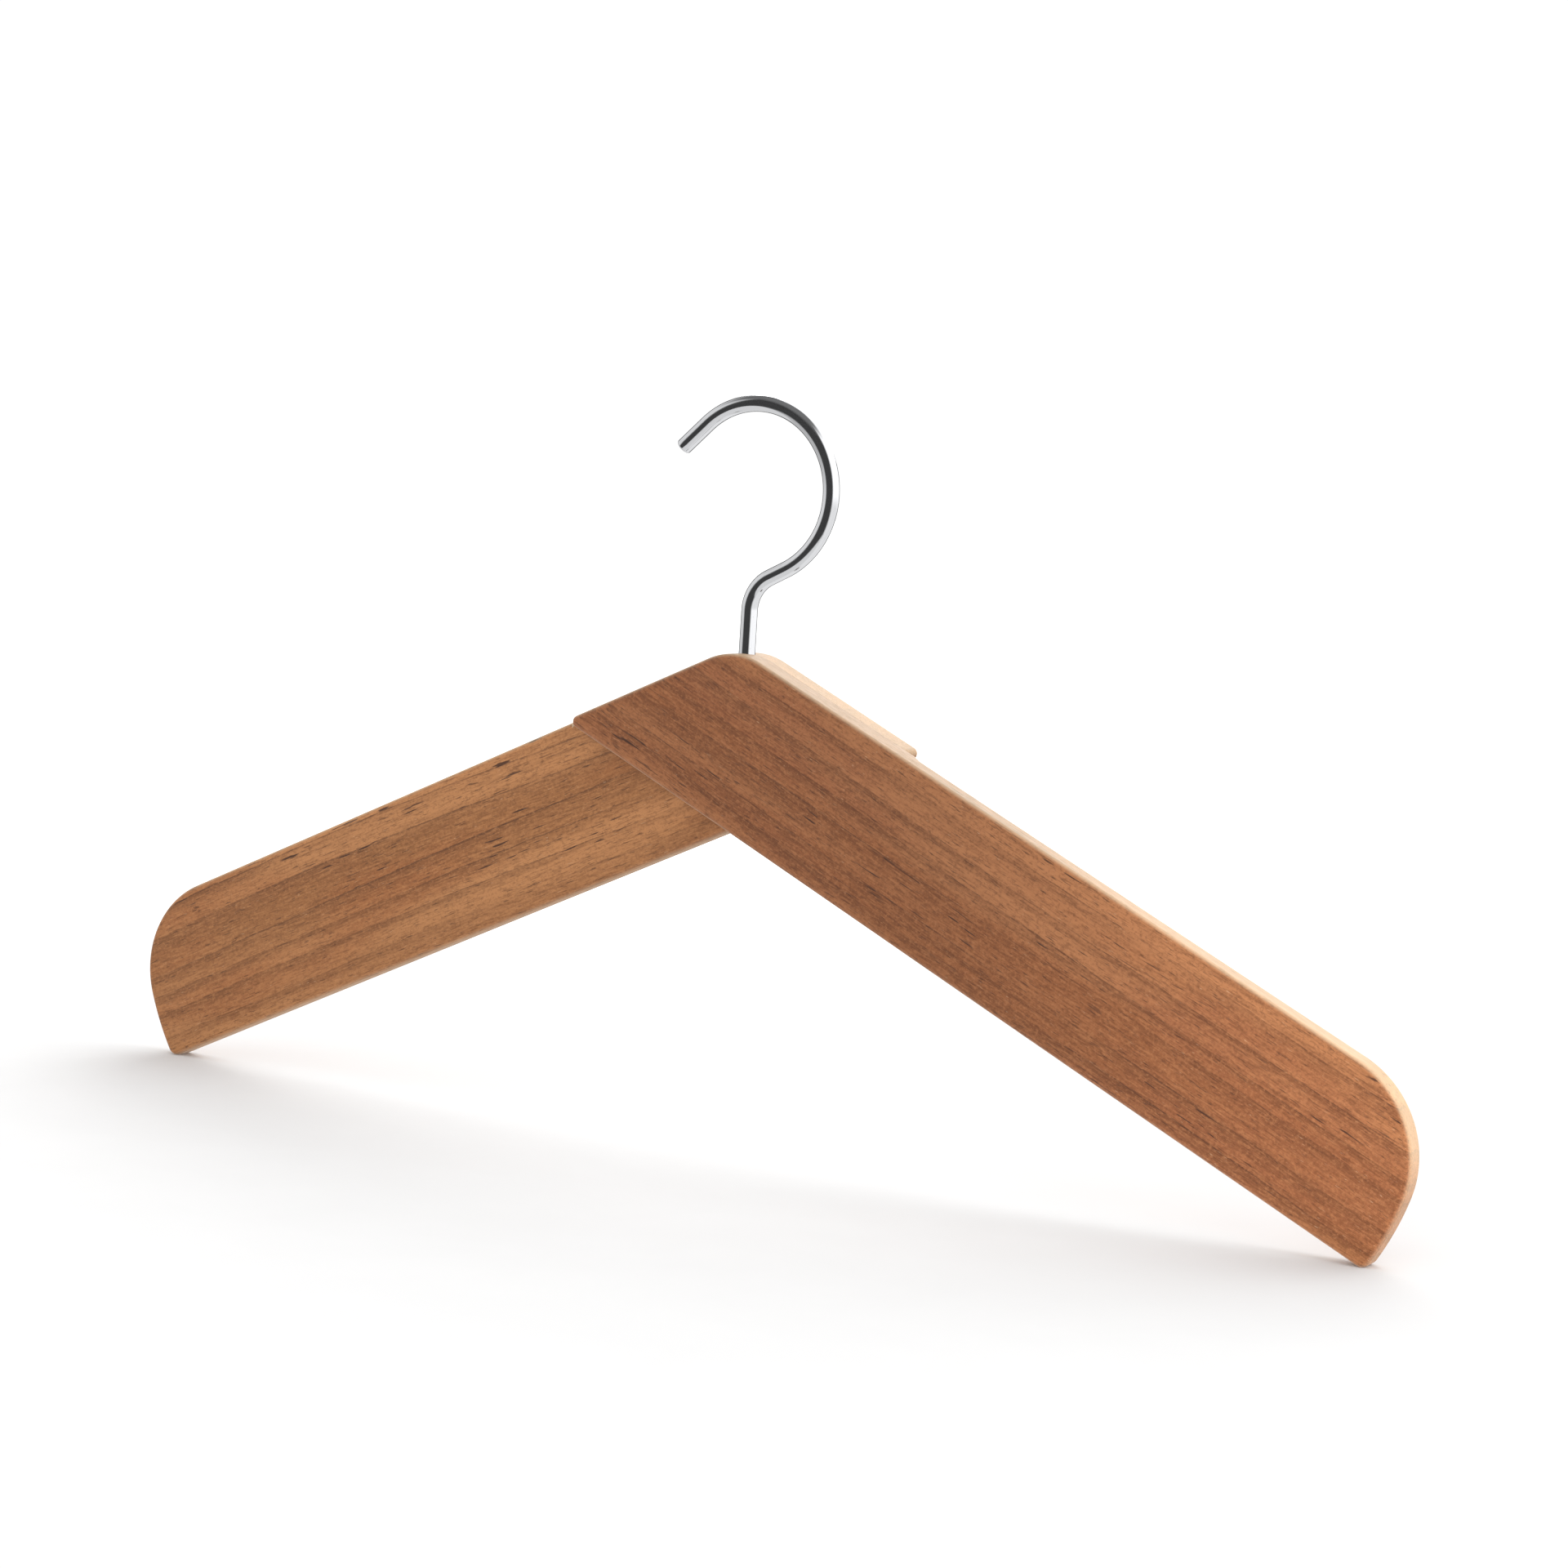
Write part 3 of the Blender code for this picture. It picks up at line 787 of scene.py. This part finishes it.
def plated_steel():
    """Dull zinc plating with cloudy patches."""
    material, tree, shader = new_material("plated_steel", 0.35, 1.0)
    place = add_node(tree, "ShaderNodeTexCoord").outputs["Object"]
    clouds = stretched_noise(tree, place, (700.0, 700.0, 700.0), 4.0).outputs[0]
    tint = mix_colour(tree, clouds, *ZINC)
    tree.links.new(tint, shader.inputs["Base Color"])
    tree.links.new(between(tree, clouds, 0.3, 0.7, 0.28, 0.45), shader.inputs["Roughness"])
    bump(tree, shader, clouds, depth=0.00001)
    return material


def nylon():
    """Cloudy white nylon."""
    material, tree, shader = new_material("nylon", 0.45)
    place = add_node(tree, "ShaderNodeTexCoord").outputs["Object"]
    clouds = stretched_noise(tree, place, (900.0, 900.0, 900.0), 3.0).outputs[0]
    tint = mix_colour(tree, clouds, *NYLON)
    tree.links.new(tint, shader.inputs["Base Color"])
    bump(tree, shader, clouds, depth=0.00001)
    return material


# ---------------------------------------------------------------- stage

# The softbox behind the hanger: from the hanger's middle to it, its sides and its power in watts
SOFTBOX_PLACE = Vector((-0.34, 1.31, 0.76))
SOFTBOX_SIDES = (1.1, 0.8)
SOFTBOX_POWER = 9.1

# Wide, even lights: their strength, and how many degrees of the sky each one fills
KEY_LIGHT = (0.8, 50)
EDGE_LIGHT = (1.2, 35)
FILL_LIGHT = (1.1, 50)
EDGE_LIGHT_FROM = Vector((0.90, 0.12, 0.34))

# What the steel mirrors: how bright each sheet is, and between which bearings from the camera it fades in
RIGHT_SHEET = 1.6
RIGHT_SHEET_EDGE = (math.radians(9), math.radians(34))
LEFT_SHEET = 0.95
LEFT_SHEET_EDGE = (math.radians(-66), math.radians(-84))
CEILING = (0.06, 0.22)  # at its rim and overhead
GROUND = 0.92
AMBIENT = (0.72, 1.05)  # the light that falls on the wood, from below and from above
BACKDROP = (1.05, 1.05, 1.05, 1.0)  # the white that the camera sees behind the hanger


def add_floor(sizes):
    """A white sheet that ends just in front of the hanger. Returns the level direction to the camera."""
    start_clean()
    bpy.ops.mesh.primitive_plane_add(size=1.0, location=(0.0, 0.0, FLOOR_Z))
    floor = settle("floor")
    toward_camera = Vector((math.sin(sizes.azimuth), -math.cos(sizes.azimuth), 0.0))
    turn = Matrix.Rotation(sizes.azimuth, 4, "Z")
    for vertex in floor.data.vertices:
        vertex.co.x *= sizes.floor_width
        vertex.co.y = -sizes.floor_near if vertex.co.y < 0 else sizes.floor_far
        vertex.co = turn @ vertex.co
    material, tree, shader = new_material("white_sheet", 0.9)
    place = add_node(tree, "ShaderNodeTexCoord").outputs["Object"]
    paper = stretched_noise(tree, place, (40.0, 40.0, 40.0), 3.0).outputs[0]
    tint = mix_colour(tree, paper, *SHEET)
    away = add_node(tree, "ShaderNodeVectorMath", {0: place}, operation="LENGTH").outputs["Value"]
    tint = mix_colour(tree, between(tree, away, 0.43, 0.60), tint, FAR_SHEET)
    tree.links.new(tint, shader.inputs["Base Color"])
    shader.inputs["Specular IOR Level"].default_value = 0.0
    floor.data.materials.append(material)
    floor.visible_glossy = False
    return toward_camera


def add_softbox(name, place, target, width, height, power):
    light = bpy.data.lights.new(name, "AREA")
    light.shape = "RECTANGLE"
    light.size = width
    light.size_y = height
    light.energy = power
    lamp = bpy.data.objects.new(name, light)
    bpy.context.scene.collection.objects.link(lamp)
    lamp.location = place
    lamp.rotation_euler = (Vector(target) - Vector(place)).to_track_quat("-Z", "Y").to_euler()
    return lamp


def add_sun(name, from_direction, strength, spread):
    """A wide, even light from far away in that direction, spread over that many degrees."""
    light = bpy.data.lights.new(name, "SUN")
    light.energy = strength
    light.angle = math.radians(spread)
    lamp = bpy.data.objects.new(name, light)
    bpy.context.scene.collection.objects.link(lamp)
    lamp.rotation_euler = (-from_direction).to_track_quat("-Z", "Y").to_euler()
    lamp.visible_glossy = False
    return lamp


def add_camera(sizes):
    """A camera that stands round to the right of the hanger, a little above it, and leans."""
    back = Vector(
        (
            math.sin(sizes.azimuth) * math.cos(sizes.elevation),
            -math.cos(sizes.azimuth) * math.cos(sizes.elevation),
            math.sin(sizes.elevation),
        )
    )
    camera = bpy.data.objects.new("camera", bpy.data.cameras.new("camera"))
    bpy.context.scene.collection.objects.link(camera)
    camera.data.sensor_width = 36.0
    camera.data.lens = sizes.lens
    camera.data.clip_start = 0.01
    level = (-back).to_track_quat("-Z", "Y").to_matrix().to_4x4()
    place = Matrix.Translation(Vector(sizes.aim) + back * sizes.distance)
    camera.matrix_world = place @ level @ Matrix.Rotation(sizes.roll, 4, "Z")
    bpy.context.scene.camera = camera


def along(tree, way, axis):
    """How far the way points along an axis."""
    return add_node(tree, "ShaderNodeVectorMath", {0: way, 1: axis}, operation="DOT_PRODUCT").outputs["Value"]


def studio_world(toward_camera, to_right):
    """White all round to the eye. Steel mirrors a dark studio, with a white sheet at each side and a pale
    ground."""
    world = bpy.data.worlds.new("studio")
    world.use_nodes = True
    bpy.context.scene.world = world
    tree = world.node_tree
    background = tree.nodes["Background"]
    way = add_node(tree, "ShaderNodeTexCoord").outputs["Generated"]
    front = along(tree, way, toward_camera)
    up = add_node(tree, "ShaderNodeSeparateXYZ", {0: way}).outputs["Z"]
    about = calculate(tree, "ARCTAN2", along(tree, way, to_right), front)
    right_sheet = between(tree, about, *RIGHT_SHEET_EDGE, 0.0, RIGHT_SHEET)
    right_sheet = calculate(tree, "MULTIPLY", right_sheet, between(tree, up, 0.75, 0.95, 1.0, 0.1))
    left_sheet = between(tree, about, *LEFT_SHEET_EDGE, 0.0, LEFT_SHEET)
    left_sheet = calculate(tree, "MULTIPLY", left_sheet, between(tree, up, 0.50, 0.80, 1.0, 0.2))
    sheets = calculate(tree, "MAXIMUM", right_sheet, left_sheet)
    sheets = calculate(tree, "MULTIPLY", sheets, between(tree, front, -0.66, -0.85, 1.0, 0.04))
    sheets = calculate(tree, "MULTIPLY", sheets, between(tree, up, 0.05, -0.22, 1.0, 0.68))
    ground = between(tree, up, -0.50, -0.60, 0.0, GROUND)
    ceiling = between(tree, up, 0.6, 0.95, *CEILING)
    mirrored = calculate(tree, "MAXIMUM", calculate(tree, "MAXIMUM", sheets, ground), ceiling)
    ambient = between(tree, up, -0.2, 1.0, *AMBIENT)
    rays = add_node(tree, "ShaderNodeLightPath").outputs
    light = mix_colour(tree, rays["Is Glossy Ray"], ambient, mirrored)
    light = mix_colour(tree, rays["Is Camera Ray"], light, BACKDROP)
    tree.links.new(light, background.inputs["Color"])


class HANGER_OT_stage(bpy.types.Operator):
    """Sets up the floor, lights, backdrop and camera"""

    bl_idname = "hanger.build_stage"
    bl_label = "Stage"

    def execute(self, context):
        sizes = context.scene.hanger_stage
        toward_camera = add_floor(sizes)
        to_right = Vector((-toward_camera.y, toward_camera.x, 0.0))
        middle = (CAD_BOUNDS[0] + CAD_BOUNDS[1]) / 2
        key_from = 0.55 * to_right - 0.30 * toward_camera + Vector((0.0, 0.0, 0.78))
        fill_from = toward_camera - 0.45 * to_right + Vector((0.0, 0.0, 0.10))
        add_softbox("back_softbox", middle + SOFTBOX_PLACE, middle, *SOFTBOX_SIDES, SOFTBOX_POWER)
        add_sun("key_light", key_from, *KEY_LIGHT)
        add_sun("edge_light", EDGE_LIGHT_FROM, *EDGE_LIGHT)
        add_sun("fill_light", fill_from, *FILL_LIGHT)
        studio_world(toward_camera, to_right)
        for board in ("front_board_teak", "rear_board_teak"):
            bpy.data.objects[board].visible_glossy = False  # steel mirrors the studio alone
        add_camera(sizes)
        context.scene.view_settings.view_transform = "Standard"
        return {"FINISHED"}


# ---------------------------------------------------------------- panel and registration

SETTINGS = {
    "hanger_boards": BoardSizes,
    "hanger_fixings": FixingSizes,
    "hanger_hook": HookSizes,
    "hanger_wood": WoodLook,
    "hanger_stage": StageSizes,
}
OPERATORS = (HANGER_OT_boards, HANGER_OT_hook, HANGER_OT_fixings, HANGER_OT_stage)


class HANGER_PT_panel(bpy.types.Panel):
    """Lists the hanger's pieces and their sizes"""

    bl_label = "Coat Hanger"
    bl_idname = "HANGER_PT_panel"
    bl_space_type = "VIEW_3D"
    bl_region_type = "UI"
    bl_category = "Hanger"

    def draw(self, context):
        for operator in OPERATORS:
            self.layout.operator(operator.bl_idname)
        for name, group in SETTINGS.items():
            box = self.layout.box()
            for setting in group.__annotations__:
                box.prop(getattr(context.scene, name), setting)


def register():
    for group in SETTINGS.values():
        bpy.utils.register_class(group)
    for operator in OPERATORS:
        bpy.utils.register_class(operator)
    bpy.utils.register_class(HANGER_PT_panel)
    for name, group in SETTINGS.items():
        setattr(bpy.types.Scene, name, PointerProperty(type=group))


def unregister():
    for name in SETTINGS:
        delattr(bpy.types.Scene, name)
    bpy.utils.unregister_class(HANGER_PT_panel)
    for operator in reversed(OPERATORS):
        bpy.utils.unregister_class(operator)
    for group in reversed(list(SETTINGS.values())):
        bpy.utils.unregister_class(group)


def main():
    register()
    bpy.ops.hanger.build_boards()
    bpy.ops.hanger.build_hook()
    bpy.ops.hanger.build_fixings()
    bpy.ops.hanger.build_stage()
    start_clean()


if __name__ == "__main__":
    main()
